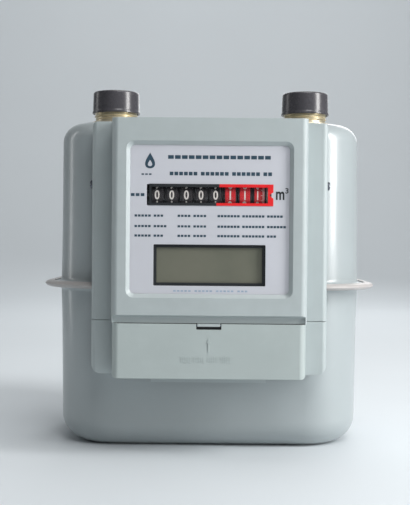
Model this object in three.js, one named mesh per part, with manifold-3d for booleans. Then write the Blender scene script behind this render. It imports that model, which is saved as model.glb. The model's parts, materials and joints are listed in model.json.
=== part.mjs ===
// Diaphragm gas meter with a card-operated display unit on its front.
//
// Frame: millimetres, +Z up, +X to the meter's right as seen from the front, the
// front of the meter faces -Y. The origin is the centre of the flat bottom of the
// lower case, and the pipe connectors stand in the plane Y = 0.
//
// The pressed steel case holds a two-chamber measuring unit: each diaphragm plate
// swings a flag rod, both flag rods turn one crank through a link, and the crank
// carries the rotary valve. The crank also turns the drive shaft that leaves the
// case through a sealed bush and, through a pair of change gears, a crown gear and
// eight number wheels, counts the gas. The plastic cover in front holds the number
// wheels, the display, the board, the card reader and, behind a hinged lid, the cells.

import * as THREE from "three";
import { mergeVertices } from "three/addons/utils/BufferGeometryUtils.js";
import Module from "manifold-3d";

const wasm = await Module();
wasm.setup();

// ------------------------------------------------------------------ dimensions
// pressed steel case
const CASE_W = 196, CASE_D = 124, CASE_R = 38, CASE_WALL = 1.0;
const CASE_TOP = 203.5, TOP_FILLET = 12, BOTTOM_FILLET = 17;
const DATUM_Z = 3.5; // heights below are measured from a plane this far above the flat bottom
const SEAM_Z = 99.2, FLANGE_T = 0.75, FLANGE_OUT = 9.7, GASKET_T = 0.6, GAP = 0.25;
const BAND_T = 0.6, BAND_REACH = 5;
// pipe connectors, M30 x 2, 130 mm between centres
const PIPE_X = 65, THREAD_R = 14.9, BORE_R = 11, COLLAR_R = 18.3, PIPE_TOP = 227;
const CAP_R = 15.95, CAP_BOTTOM = 214, CAP_TOP = 228.9;
// plastic cover unit
const WING_X = 72.2, PANEL_X = 58, COVER_BACK = -64.6, WING_Y = -78, PANEL_Y = -101;
const COVER_T = 2, COVER_BOTTOM = 79, COVER_TOP = 200, BASE_BOTTOM = 46;
const LID_X = 57.4, LID_Y = -100.5, LID_TOP = 78.7, LID_BOTTOM = 46.3;
const HINGE_Y = -76.5, HINGE_Z = 48.6, HINGE_PIN_R = 1.0;
// nameplate and its windows
const PLATE_X = 49.2, PLATE_Z0 = 94, PLATE_Z1 = 186.4;
const INDEX_X0 = -37.2, INDEX_X1 = 36.2, INDEX_Z0 = 148.6, INDEX_Z1 = 161;
const LCD_X = 33.1, LCD_Z0 = 101.1, LCD_Z1 = 125.5;
// index (number wheels)
const WHEELS = 8, WHEEL_PITCH = 8.65, WHEEL_X0 = -31.2, WHEEL_R = 10.2, WHEEL_W = 8.2;
const AXLE_Y = -86.8, AXLE_Z = 154.8, AXLE_R = 1.5;
// gear train
const DRIVE_X = 39.7, DRIVE_Z = 128, CRANK_Y = -22, CRANK_R = 7;
const CROWN_A = { teeth: 20, mean: 10, half: 1.6 }, PINION_A = { teeth: 6, r: 3.0 };
const CROWN_B = { teeth: 20, mean: 8.6, half: 1.3 }, PINION_B = { teeth: 8, r: 3.44 };
const CHANGE_TEETH = 20;
// measuring unit
const CHAMBER_X = -20, CHAMBER_Z = 56, CHAMBER_R = 43;
const FLAG_F = [-56, -12], FLAG_R = [16, 12], ROD_R = 2, ARM_L = 30;

// share of the nominal segment count that round faces are built with
const FACETS = 0.7;

// ------------------------------------------------------------------ solids
function solid(geometry) {
  const g = geometry.index ? geometry.toNonIndexed() : geometry.clone();
  for (const k of Object.keys(g.attributes)) if (k !== "position") g.deleteAttribute(k);
  const m = mergeVertices(g, 1e-4);
  const src = m.index.array, tri = [];
  for (let i = 0; i < src.length; i += 3) {
    const [a, b, c] = [src[i], src[i + 1], src[i + 2]];
    if (a !== b && b !== c && a !== c) tri.push(a, b, c);
  }
  const make = (t) => new wasm.Manifold(new wasm.Mesh({
    numProp: 3, vertProperties: new Float32Array(m.attributes.position.array), triVerts: new Uint32Array(t) }));
  let s = make(tri);
  if (s.volume() < 0) {
    for (let i = 0; i < tri.length; i += 3) [tri[i + 1], tri[i + 2]] = [tri[i + 2], tri[i + 1]];
    s = make(tri);
  }
  return s;
}
const cut = (a, ...bs) => bs.reduce((s, b) => s.subtract(b), a);
const join = (a, ...bs) => bs.reduce((s, b) => s.add(b), a);

function box(x0, x1, y0, y1, z0, z1) {
  return solid(new THREE.BoxGeometry(x1 - x0, y1 - y0, z1 - z0)
    .translate((x0 + x1) / 2, (y0 + y1) / 2, (z0 + z1) / 2));
}
// a cylinder along an axis, from a to b on it, at the two other coordinates
function rod(axis, r, a, b, p, q, seg = 24, r2 = r) {
  const g = new THREE.CylinderGeometry(r2, r, b - a, Math.max(8, Math.round(seg * FACETS))).translate(0, (a + b) / 2, 0);
  if (axis === "z") g.rotateX(Math.PI / 2).translate(p, q, 0);
  if (axis === "x") g.rotateZ(-Math.PI / 2).translate(0, p, q);
  if (axis === "y") g.translate(p, 0, q);
  return solid(g);
}
// a closed profile of [r, h] points turned round an axis through the origin
function lathe(axis, points, seg = 32) {
  const g = new THREE.LatheGeometry(points.concat([points[0]]).map(([r, h]) => new THREE.Vector2(r, h)), Math.max(10, Math.round(seg * FACETS)));
  if (axis === "z") g.rotateX(Math.PI / 2);
  if (axis === "x") g.rotateZ(-Math.PI / 2);
  return solid(g);
}
function roundRect(w, d, r) {
  const x = w / 2, y = d / 2, s = new THREE.Shape();
  s.moveTo(-x + r, -y);
  s.lineTo(x - r, -y);
  s.absarc(x - r, -y + r, r, -Math.PI / 2, 0, false);
  s.lineTo(x, y - r);
  s.absarc(x - r, y - r, r, 0, Math.PI / 2, false);
  s.lineTo(-x + r, y);
  s.absarc(-x + r, y - r, r, Math.PI / 2, Math.PI, false);
  s.lineTo(-x, -y + r);
  s.absarc(-x + r, -y + r, r, Math.PI, 1.5 * Math.PI, false);
  return s;
}
function slab(shape, z0, z1, curveSegments = 5) {
  return solid(new THREE.ExtrudeGeometry(shape, { depth: z1 - z0, bevelEnabled: false, curveSegments }).translate(0, 0, z0));
}
// a rounded-rectangle block with both ends filleted
function pillow(w, d, r, z0, z1, fillet, seg = 3) {
  return solid(new THREE.ExtrudeGeometry(roundRect(w - 2 * fillet, d - 2 * fillet, r - fillet), {
    depth: z1 - z0 - 2 * fillet, bevelEnabled: true, bevelThickness: fillet, bevelSize: fillet,
    bevelSegments: seg, curveSegments: 5 }).translate(0, 0, z0 + fillet));
}
function polygon(points) {
  const s = new THREE.Shape();
  points.forEach(([x, y], i) => (i ? s.lineTo(x, y) : s.moveTo(x, y)));
  s.closePath();
  return s;
}
// a spur gear in its own frame, axis along +Z from h0 to h1
function spurShape(teeth, rRoot, rTip, root = 0.5, tip = 0.26, phase = 0) {
  const p = [], step = (2 * Math.PI) / teeth;
  for (let i = 0; i < teeth; i++) {
    const a = phase + i * step;
    for (const [f, r] of [[-root / 2, rRoot], [-tip / 2, rTip], [tip / 2, rTip], [root / 2, rRoot]])
      p.push([r * Math.cos(a + f * step), r * Math.sin(a + f * step)]);
  }
  return polygon(p);
}
// a crown gear in its own frame: a disc from h0 to h1 with teeth standing on it to h2
function crown(teeth, r0, r1, h0, h1, h2, discR0, discR1, width = 0.34, phase = 0) {
  let s = slab(roundRing(discR1), h0, h1);
  const step = (2 * Math.PI) / teeth;
  for (let i = 0; i < teeth; i++) {
    const a = phase + i * step, w = (width * step) / 2;
    const p = [[r0, -w], [r1, -w], [r1, w], [r0, w]].map(([r, t]) => [r * Math.cos(a + t), r * Math.sin(a + t)]);
    s = s.add(slab(polygon(p), h1 - 0.3, h2));
  }
  return s;
}
function roundRing(r, seg = 22) {
  return polygon([...Array(seg)].map((_, i) => [r * Math.cos((2 * Math.PI * i) / seg), r * Math.sin((2 * Math.PI * i) / seg)]));
}

// ------------------------------------------------------------------ materials
const mat = (color, roughness, metalness = 0, extra = {}) => new THREE.MeshStandardMaterial({ color, roughness, metalness, ...extra });
const M = {
  paint: mat(0xa9b2b0, 0.38, 0.1), plastic: mat(0xa6b0ae, 0.5), zinc: mat(0xc9b98a, 0.35, 0.9),
  cap: mat(0x17171a, 0.18), rubber: mat(0x1b1b1c, 0.8), label: mat(0xd9dae0, 0.5),
  clear: mat(0xdfe8ea, 0.05, 0, { transparent: true, opacity: 0.3 }), lcd: mat(0x74786a, 0.25), black: mat(0x101314, 0.4),
  red: mat(0xb81d22, 0.4), white: mat(0xe6e4dc, 0.55), steel: mat(0x9a9da0, 0.35, 0.9), brass: mat(0xb08a45, 0.3, 0.9),
  leather: mat(0x4b3626, 0.8), board: mat(0x1e5a36, 0.45), cell: mat(0x2f5e8f, 0.3),
};

const part = new THREE.Group();
part.name = "gas_meter";
const root = new THREE.Group();
root.position.z = DATUM_Z;
part.add(root);
function group(parent, x = 0, y = 0, z = 0) {
  const g = new THREE.Group();
  g.position.set(x, y, z);
  parent.add(g);
  return g;
}
// The solid becomes a named mesh in the given group; at = where the solid's own origin goes.
function add(parent, name, s, material, at = [0, 0, 0], turn = [0, 0, 0]) {
  const m = s.getMesh(), g = new THREE.BufferGeometry();
  g.setAttribute("position", new THREE.BufferAttribute(new Float32Array(m.vertProperties), 3));
  g.setIndex(new THREE.BufferAttribute(new Uint32Array(m.triVerts), 1));
  g.computeVertexNormals();
  const o = new THREE.Mesh(g, material);
  o.name = name;
  o.position.set(...at);
  o.rotation.set(...turn);
  parent.add(o);
  return o;
}

// ------------------------------------------------------------------ case
const caseGroup = group(root);
const F_W = CASE_W + 2 * FLANGE_OUT, F_D = CASE_D + 2 * FLANGE_OUT, F_R = CASE_R + FLANGE_OUT;
const upperFlange0 = SEAM_Z + GASKET_T / 2 + GAP, upperFlange1 = upperFlange0 + FLANGE_T;
const lowerFlange1 = SEAM_Z - GASKET_T / 2 - GAP, lowerFlange0 = lowerFlange1 - FLANGE_T;
const inner = roundRect(CASE_W - 2 * CASE_WALL, CASE_D - 2 * CASE_WALL, CASE_R - CASE_WALL);

const upperCase = cut(
  join(
    cut(pillow(CASE_W, CASE_D, CASE_R, upperFlange0 - 30, CASE_TOP, TOP_FILLET), box(-150, 150, -150, 150, 0, upperFlange0)),
    slab(roundRect(F_W, F_D, F_R), upperFlange0, upperFlange1),
  ),
  cut(pillow(CASE_W - 2 * CASE_WALL, CASE_D - 2 * CASE_WALL, CASE_R - CASE_WALL, upperFlange0 - 40, CASE_TOP - CASE_WALL, TOP_FILLET - CASE_WALL),
    box(-150, 150, -150, 150, 0, upperFlange0 - 5)),
  rod("z", THREAD_R + 0.4, 195, 215, -PIPE_X, 0, 28),
  rod("z", THREAD_R + 0.4, 195, 215, PIPE_X, 0, 28),
  rod("y", 5.3, -70, -50, DRIVE_X, DRIVE_Z, 20),
);
add(caseGroup, "upper_case", upperCase, M.paint);

const lowerCase = cut(
  join(
    cut(pillow(CASE_W, CASE_D, CASE_R, -DATUM_Z, lowerFlange1 + 40, BOTTOM_FILLET), box(-150, 150, -150, 150, lowerFlange1, 200)),
    slab(roundRect(F_W, F_D, F_R), lowerFlange0, lowerFlange1),
  ),
  cut(pillow(CASE_W - 2 * CASE_WALL, CASE_D - 2 * CASE_WALL, CASE_R - CASE_WALL, CASE_WALL - DATUM_Z, lowerFlange1 + 40, BOTTOM_FILLET - CASE_WALL),
    box(-150, 150, -150, 150, lowerFlange1 + 5, 200)),
);
add(caseGroup, "lower_case", lowerCase, M.paint);

add(caseGroup, "case_gasket", cut(
  slab(roundRect(F_W - 2, F_D - 2, F_R - 1), SEAM_Z - GASKET_T / 2, SEAM_Z + GASKET_T / 2),
  slab(inner, 0, 200)), M.rubber);

const bandZ0 = lowerFlange0 - GAP - BAND_T, bandZ1 = upperFlange1 + GAP + BAND_T;
const BAND_OUT = GAP + BAND_T;
add(caseGroup, "clamp_band", cut(
  slab(roundRect(F_W + 2 * BAND_OUT, F_D + 2 * BAND_OUT, F_R + BAND_OUT), bandZ0, bandZ1, 6),
  slab(roundRect(F_W - 2 * BAND_REACH, F_D - 2 * BAND_REACH, F_R - BAND_REACH), 0, 200, 6),
  slab(roundRect(F_W + 2 * GAP, F_D + 2 * GAP, F_R + GAP), bandZ0 + BAND_T, bandZ1 - BAND_T, 6)), M.paint);

// ------------------------------------------------------------------ connectors and caps
for (const [side, x] of [["inlet", -PIPE_X], ["outlet", PIPE_X]]) {
  const g = group(root, x, 0, 0);
  add(g, `${side}_connector`, lathe("z", [
    [BORE_R, 196], [THREAD_R, 196], [THREAD_R, CASE_TOP + 0.3], [COLLAR_R - 0.8, CASE_TOP + 0.3], [COLLAR_R, CASE_TOP + 1.1],
    [COLLAR_R, CASE_TOP + 3.7], [COLLAR_R - 0.8, CASE_TOP + 4.5], [THREAD_R - 0.9, CASE_TOP + 4.5], [THREAD_R - 0.9, CASE_TOP + 6.5],
    [THREAD_R, CASE_TOP + 7.4], [THREAD_R, PIPE_TOP - 1.2], [THREAD_R - 1.2, PIPE_TOP], [BORE_R, PIPE_TOP]], 32), M.zinc);
  add(g, `${side}_cap`, lathe("z", [
    [THREAD_R + 0.3, CAP_BOTTOM], [CAP_R + 0.35, CAP_BOTTOM], [CAP_R + 0.35, CAP_BOTTOM + 1.2], [CAP_R, CAP_BOTTOM + 1.8],
    [CAP_R - 0.25, CAP_TOP - 1.6], [CAP_R - 0.75, CAP_TOP - 0.45], [CAP_R - 1.9, CAP_TOP], [0, CAP_TOP], [0, PIPE_TOP + 0.4], [THREAD_R + 0.3, PIPE_TOP + 0.4]], 32), M.cap);
}

// ------------------------------------------------------------------ cover unit
const coverGroup = group(root);
function stepped(w, p, yBack, yWing, yFront, r) {
  const s = new THREE.Shape();
  s.moveTo(-w, yBack);
  s.lineTo(-w, yWing + r);
  s.absarc(-w + r, yWing + r, r, Math.PI, 1.5 * Math.PI, false);
  s.lineTo(-p, yWing);
  s.lineTo(-p, yFront + r);
  s.absarc(-p + r, yFront + r, r, Math.PI, 1.5 * Math.PI, false);
  s.lineTo(p - r, yFront);
  s.absarc(p - r, yFront + r, r, 1.5 * Math.PI, 2 * Math.PI, false);
  s.lineTo(p, yWing);
  s.lineTo(w - r, yWing);
  s.absarc(w - r, yWing + r, r, 1.5 * Math.PI, 2 * Math.PI, false);
  s.lineTo(w, yBack);
  s.closePath();
  return s;
}
// plates that stand in the XZ plane: a shape drawn in X and Z, from y0 to y1
function wall(shape, y0, y1, extra = {}) {
  const g = new THREE.ExtrudeGeometry(shape, { depth: y1 - y0, bevelEnabled: false, curveSegments: 4, ...extra });
  return solid(g.rotateX(Math.PI / 2).translate(0, y1, 0));
}
function rectXZ(x0, x1, z0, z1, r) {
  const s = roundRect(x1 - x0, z1 - z0, r);
  const pts = s.getPoints(4).map((p) => [p.x + (x0 + x1) / 2, p.y + (z0 + z1) / 2]);
  pts.pop();
  return polygon(pts);
}
const plateHole = (() => {
  const b = 2.5, g = new THREE.ExtrudeGeometry(rectXZ(-PLATE_X + b, PLATE_X - b, PLATE_Z0 + b, PLATE_Z1 - b, 2.5), {
    depth: 6, bevelEnabled: true, bevelSegments: 1, bevelThickness: COVER_T, bevelSize: b });
  // straight part inside, widening to the front face
  const straight = wall(rectXZ(-PLATE_X + b, PLATE_X - b, PLATE_Z0 + b, PLATE_Z1 - b, 2.5), PANEL_Y - 3, PANEL_Y + 8);
  const flared = solid(g.rotateX(Math.PI / 2).translate(0, PANEL_Y, 0));
  return join(straight, cut(flared, box(-90, 90, PANEL_Y + 4, 0, 0, 300)));
})();
let frontCover = cut(
  slab(stepped(WING_X, PANEL_X, COVER_BACK, WING_Y, PANEL_Y, 3), COVER_BOTTOM, COVER_TOP, 4),
  slab(stepped(WING_X - COVER_T, PANEL_X - COVER_T, COVER_BACK + 5, WING_Y + COVER_T, PANEL_Y + COVER_T, 1.5), COVER_BOTTOM - 5, COVER_TOP - COVER_T, 3),
  plateHole,
);
// bottom web that closes the display space above the cells, with a slot for the latch
frontCover = join(frontCover,
  box(-PANEL_X + 1, PANEL_X - 1, PANEL_Y + 1, -79, COVER_BOTTOM, COVER_BOTTOM + 1.8),
  box(-PANEL_X + 1, PANEL_X - 1, PANEL_Y + 1, -96.2, COVER_BOTTOM, COVER_BOTTOM + 6.4));
for (const x of [-53.7, 53.7]) for (const z of [89, 138.5]) frontCover = join(frontCover, rod("y", 1.9, -99.5, -90.35, x, z, 12));
frontCover = cut(frontCover,
  box(-7.3, 7.3, -96, -90.5, COVER_BOTTOM - 1, COVER_BOTTOM + 8),
  // chamfer along the panel's lower edge
  solid(new THREE.ExtrudeGeometry(polygon([[PANEL_Y - 1, COVER_BOTTOM - 1], [PANEL_Y + 2.3, COVER_BOTTOM - 1], [PANEL_Y + 2.3, COVER_BOTTOM + 0.2], [PANEL_Y, COVER_BOTTOM + 4.4], [PANEL_Y - 1, COVER_BOTTOM + 4.4]]),
    { depth: 2 * PANEL_X + 2, bevelEnabled: false }).rotateX(Math.PI / 2).rotateZ(Math.PI / 2).translate(-PANEL_X - 1, 0, 0)),
  // the clamp band passes through both side walls
  box(-80, 80, -75.9, -60, bandZ0 - 0.6, bandZ1 + 0.6),
  rod("x", 1.6, -80, 80, -70.5, 162, 12),
);
add(coverGroup, "front_cover", frontCover, M.plastic);

let coverBase = join(
  box(-WING_X, WING_X, -64.3, -62.35, bandZ1 + 0.6, COVER_TOP),
  box(-WING_X, WING_X, -64.3, -62.35, BASE_BOTTOM, bandZ0 - 0.6),
  // channel over the clamp band
  box(-55, 55, -78, -64, bandZ1 + 0.6, bandZ1 + 2.2),
  box(-55, 55, -78, -64, bandZ0 - 2.2, bandZ0 - 0.6),
  box(-55, 55, -78, -76.4, bandZ0 - 2.2, bandZ1 + 2.2),
  // floor and the two lower wings
  box(-WING_X, WING_X, -73, -64, BASE_BOTTOM, BASE_BOTTOM + 1.8),
);
for (const s of [-1, 1]) {
  const bx = (a, b, ...r) => box(Math.min(s * a, s * b), Math.max(s * a, s * b), ...r);
  coverBase = join(coverBase,
    bx(58, WING_X, WING_Y, -64, BASE_BOTTOM, BASE_BOTTOM + 1.8),
    bx(WING_X - 2, WING_X, WING_Y + 1, -64, BASE_BOTTOM, LID_TOP),
    bx(58, WING_X, WING_Y, WING_Y + 2, BASE_BOTTOM, LID_TOP),
    bx(58, 59.8, WING_Y, -64, BASE_BOTTOM, LID_TOP),
    bx(67.3, 69.2, -74, -64, 156.5, 167.5));
  // rounded outer edges of the wings
  coverBase = cut(coverBase,
    cut(bx(WING_X - 3, WING_X + 2, WING_Y - 2, WING_Y + 3, BASE_BOTTOM - 1, LID_TOP + 1),
      rod("z", 3, BASE_BOTTOM - 2, LID_TOP + 2, s * (WING_X - 3), WING_Y + 3, 20)),
    cut(bx(WING_X - 6, WING_X + 2, WING_Y - 2, -62, BASE_BOTTOM - 1, BASE_BOTTOM + 6),
      rod("y", 6, WING_Y - 3, -61, s * (WING_X - 6), BASE_BOTTOM + 6, 24)));
}
coverBase = join(coverBase, box(-35.5, 35.5, -72.8, -65.4, 40.2, BASE_BOTTOM + 1));
coverBase = cut(coverBase,
  box(-28, 28, -70.2, -67.9, 38, BASE_BOTTOM + 3),
  box(-29.5, 29.5, -71.6, -66.9, 38, BASE_BOTTOM - 1),
  rod("x", HINGE_PIN_R + 0.3, -61, 61, HINGE_Y, HINGE_Z, 16),
  rod("x", 1.5, -80, 80, -70.5, 162, 12),
  rod("y", 6, -70, -60, DRIVE_X, DRIVE_Z, 20),
);
add(coverGroup, "cover_base", coverBase, M.plastic);

for (const [side, s] of [["left", -1], ["right", 1]]) {
  add(coverGroup, `side_screw_${side}`, join(rod("x", 2.7, 0.3, 2.0, 0, 0, 20, 2.1), rod("x", 1.2, -5.4, 0.6, 0, 0, 12)), M.steel,
    [s * WING_X, -70.5, 162], [0, s < 0 ? Math.PI : 0, 0]);
}

// lid over the cells, hinged on the two moulded pins of its ears
const lidGroup = group(coverGroup);
let lid = cut(
  (() => {
    const s = new THREE.Shape(), x = LID_X, r = 3, y0 = LID_Y, y1 = -78.3;
    s.moveTo(-x, y1);
    s.lineTo(-x, y0 + r);
    s.absarc(-x + r, y0 + r, r, Math.PI, 1.5 * Math.PI, false);
    s.lineTo(x - r, y0);
    s.absarc(x - r, y0 + r, r, 1.5 * Math.PI, 2 * Math.PI, false);
    s.lineTo(x, y1);
    s.closePath();
    return slab(s, LID_BOTTOM, LID_TOP, 4);
  })(),
  box(-LID_X + 1.8, LID_X - 1.8, LID_Y + 1.8, -70, LID_BOTTOM + 1.8, LID_TOP + 5),
);
for (const s of [-1, 1]) {
  const a = s * (LID_X - 1.8), b = s * LID_X;
  lid = join(lid, box(Math.min(a, b), Math.max(a, b), -80, HINGE_Y, LID_BOTTOM, LID_BOTTOM + 4.6), rod("x", 2.3, Math.min(a, b), Math.max(a, b), HINGE_Y, HINGE_Z, 20),
    rod("x", HINGE_PIN_R, Math.min(s * 57, s * 59.6), Math.max(s * 57, s * 59.6), HINGE_Y, HINGE_Z, 16));
}
lid = cut(lid,
  box(-7.4, 7.4, LID_Y - 2, LID_Y + 4, 75.7, LID_TOP + 2),
);
add(lidGroup, "battery_lid", lid, M.plastic);

add(coverGroup, "lid_latch", join(
  box(-6.8, 6.8, -95.7, -94.2, 77.6, 92),
  box(-6.8, 6.8, -100.6, -94.2, 77.6, 78.7)), M.plastic);

// nameplate, index window, display
const hole = (x0, x1, z0, z1, r) => wall(rectXZ(x0, x1, z0, z1, r), -110, -80);
add(coverGroup, "nameplate", cut(
  wall(rectXZ(-PLATE_X - 1.5, PLATE_X + 1.5, PLATE_Z0 - 1.5, PLATE_Z1 + 1.5, 3), -98.7, -97.5),
  hole(INDEX_X0, INDEX_X1, INDEX_Z0, INDEX_Z1, 0.3), hole(-LCD_X, LCD_X, LCD_Z0, LCD_Z1, 0.6)), M.label);
add(coverGroup, "index_window", box(INDEX_X0 + 0.3, INDEX_X1 - 0.3, -98.55, -97.5, INDEX_Z0 + 0.3, INDEX_Z1 - 0.3), M.clear);
add(coverGroup, "lcd_bezel", cut(
  box(-35, 35, -97.2, -90.4, 99.2, 127.4),
  box(-33.2, 33.2, -96.4, -80, 101, 125.6),
  box(-31.3, 31.3, -99, -80, 102.9, 123.7)), M.black);
add(coverGroup, "lcd_glass", box(-32.8, 32.8, -96.1, -94, 101.4, 125.2), M.lcd);
add(coverGroup, "main_board", cut(box(-55, 55, -90.0, -88.4, 86, 142), box(-8.5, 8.5, -91, -87, 85, 93.5)), M.board);

// card reader and cells
add(coverGroup, "card_reader", cut(
  box(-30.5, 30.5, -72.6, -65, BASE_BOTTOM + 2.1, 91),
  box(-27.6, 27.6, -70.1, -68, 30, 88)), M.black);
let holder = join(
  box(-54.8, 54.8, -82.6, -81.2, 48.5, 78.4),
  box(-54.8, 54.8, -97.4, -82, 48.5, 49.3),
  box(-0.7, 0.7, -95, -82, 48.5, 76.5),
  // tab behind the latch's notch
  box(-11, 11, -98.4, -97.1, 48.5, 49.3),
  box(-11, 11, -98.4, -97.6, 48.5, 77.2));
for (const s of [-1, 1]) {
  const bx = (a, b, ...r) => box(Math.min(s * a, s * b), Math.max(s * a, s * b), ...r);
  holder = join(holder, bx(53.4, 54.8, -97.4, -82, 48.5, 78.4), bx(44, 52, -82, -64.65, 54, 74));
}
add(coverGroup, "battery_holder", holder, M.black);
const cellShape = [[0, -25.1], [6.4, -25.1], [7.0, -24.6], [7.0, 23.4], [6.4, 24.0], [2.7, 24.0], [2.7, 25.2], [0, 25.2]];
[[-27, 56.4, 0], [27, 56.4, Math.PI], [-27, 70.5, Math.PI], [27, 70.5, 0]].forEach(([x, z, turn], i) =>
  add(coverGroup, `battery_cell_${i + 1}`, lathe("x", cellShape, 20), M.cell, [x, -90.4, z], [0, 0, turn]));

// ------------------------------------------------------------------ index
const index = group(root, 0, AXLE_Y, AXLE_Z);
add(index, "index_axle", rod("x", AXLE_R, -42.4, 38.6, 0, 0, 16), M.steel);
for (let i = 0; i < WHEELS; i++) {
  const w = WHEEL_W / 2;
  add(index, `number_wheel_${i + 1}`, lathe("x", [
    [AXLE_R + 0.3, -w], [WHEEL_R, -w], [WHEEL_R, w], [AXLE_R + 0.3, w]], 30),
    i < 5 ? M.black : M.red, [WHEEL_X0 + i * WHEEL_PITCH, 0, 0]);
}
const wheel8 = WHEEL_X0 + 7 * WHEEL_PITCH + WHEEL_W / 2;
// crown gear on the last wheel, teeth towards +X; it meets the input pinion on its +Y side
const crownB = crown(CROWN_B.teeth, CROWN_B.mean - CROWN_B.half, CROWN_B.mean + CROWN_B.half, wheel8 + 0.1, wheel8 + 1.2, DRIVE_X - PINION_B.r + 0.55, 0, CROWN_B.mean + CROWN_B.half, 0.34, 0);
add(index, "index_crown_gear", cut(crownB, rod("z", AXLE_R + 0.3, 20, 50, 0, 0, 16)).rotate([0, 90, 0]), M.white);
const frame = cut(join(
  box(-42, 48, -92, -73.1, 167, 168.6),
  box(-42, -40.4, -91, -82.4, 150, 167.4),
  box(37.3, 38.9, -91, -82.4, 150, 167.4),
  box(33, 47, -74.6, -73.1, 147, 167.4),
  box(-42, -36, -73.5, -64.65, 158, 168.6),
  box(40, 62, -75.6, -73.1, 167, 168.6),
  box(57, 62, -75.6, -64.65, 164, 168.6)),
  rod("x", AXLE_R + 0.3, -50, 50, AXLE_Y, AXLE_Z, 16),
  rod("y", AXLE_R + 0.3, -76, -72, DRIVE_X, AXLE_Z, 16));
add(root, "index_frame", frame, M.white);

// ------------------------------------------------------------------ drive train
const drive = group(root, DRIVE_X, 0, DRIVE_Z);
add(drive, "drive_shaft", join(rod("y", 1.8, -71.5, -28.3, 0, 0, 16), rod("y", 2.8, -66.2, -65.6, 0, 0, 16)), M.steel);
add(drive, "drive_bush", cut(join(rod("y", 5, -64.2, -57, 0, 0, 20), rod("y", 7.5, -60.7, -58.4, 0, 0, 20)), rod("y", 2.1, -70, -50, 0, 0, 16)), M.brass);
const changeGear = (phase, bore) => cut(
  slab(spurShape(CHANGE_TEETH, 12.25, 14.45, 0.5, 0.2, phase), 0, 3), bore ? rod("z", 2.1, -1, 4, 0, 0, 16) : rod("z", 1.8, -1, 4, 0, 0, 16));
add(drive, "change_gear_driver", changeGear(Math.PI / 2, true), M.brass, [0, -67.2, 0], [Math.PI / 2, 0, 0]);
const input = group(root, DRIVE_X, 0, AXLE_Z);
add(input, "change_gear_driven", changeGear(-Math.PI / 2 + Math.PI / CHANGE_TEETH, false), M.brass, [0, -67.2, 0], [Math.PI / 2, 0, 0]);
add(input, "index_input_shaft", join(
  slab(spurShape(PINION_B.teeth, PINION_B.r - 0.75, PINION_B.r + 0.55, 0.5, 0.24, Math.PI / PINION_B.teeth), 0, 2 * CROWN_B.half + 0.4).rotate([90, 0, 0]).translate([0, AXLE_Y + CROWN_B.mean + CROWN_B.half + 0.2, 0]),
  rod("y", AXLE_R, -78.5, -66.2, 0, 0, 16)), M.steel);
// crown gear on the drive shaft, teeth towards +Y; the crank's pinion meets it at its top
const crownA = crown(CROWN_A.teeth, CROWN_A.mean - CROWN_A.half, CROWN_A.mean + CROWN_A.half, 0, 2, CRANK_Y - PINION_A.r + 0.6 + 29.6, 0, CROWN_A.mean + CROWN_A.half, 0.34, Math.PI / 2);
add(drive, "drive_crown_gear", cut(crownA, rod("z", 2.1, -2, 1.6, 0, 0, 16)).rotate([-90, 0, 0]), M.white, [0, -29.6, 0]);

// ------------------------------------------------------------------ crank and rotary valve
const crank = group(root, DRIVE_X, CRANK_Y, 0);
add(crank, "crank", join(
  rod("z", 2, 116.2, 143, 0, 0, 16),
  slab(spurShape(PINION_A.teeth, PINION_A.r - 0.8, PINION_A.r + 0.7, 0.5, 0.24, -Math.PI / 2 + Math.PI / PINION_A.teeth), 136.2, 139.8),
  rod("z", 9.6, 142, 144, 0, 0, 24),
  rod("z", 1.8, 143.5, 147, 0, -CRANK_R, 14)), M.steel);
add(crank, "rotary_valve", cut(
  join(rod("z", 13.6, 110.3, 113.2, 0, 0, 30), rod("z", 5, 113, 115.9, 0, 0, 20)),
  cut(rod("z", 11.5, 110, 112, 0, 0, 24), box(-14, 14, -14, 1.5, 100, 120), rod("z", 5.6, 100, 120, 0, 0, 20))), M.white);

// ------------------------------------------------------------------ measuring unit
const unit = group(root);
const table = cut(
  slab(roundRect(172, 104, 16), 106, 110, 4),
  rod("z", 9.6, 100, 120, PIPE_X, 0, 24),
  rod("z", 4.6, 100, 120, DRIVE_X, CRANK_Y, 16),
  ...[0, 1, 2, 3].map((i) => rod("z", 2.4, 100, 120, DRIVE_X + 8.5 * Math.cos((i * Math.PI) / 2 + 0.78), CRANK_Y + 8.5 * Math.sin((i * Math.PI) / 2 + 0.78), 12)),
  rod("z", ROD_R + 0.4, 100, 120, ...FLAG_F, 16),
  rod("z", ROD_R + 0.4, 100, 120, ...FLAG_R, 16));
add(unit, "valve_table", table, M.white);
add(unit, "chamber_block", cut(
  box(-67, 27, -50, 50, 9, 105.7),
  rod("y", CHAMBER_R, -60, -4, CHAMBER_X, CHAMBER_Z, 36),
  rod("y", CHAMBER_R, 4, 60, CHAMBER_X, CHAMBER_Z, 36),
  rod("z", ROD_R + 0.4, 26, 120, ...FLAG_F, 16),
  rod("z", ROD_R + 0.4, 26, 120, ...FLAG_R, 16)), M.white);
add(unit, "front_chamber_cover", join(box(-67, 27, -52.6, -50.3, 9, 105.7), rod("y", 30, -56.5, -52, CHAMBER_X, CHAMBER_Z, 30, 38)), M.white);
add(unit, "rear_chamber_cover", join(box(-67, 27, 50.3, 52.6, 9, 105.7), rod("y", 38, 52, 56.5, CHAMBER_X, CHAMBER_Z, 30, 30)), M.white);

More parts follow.
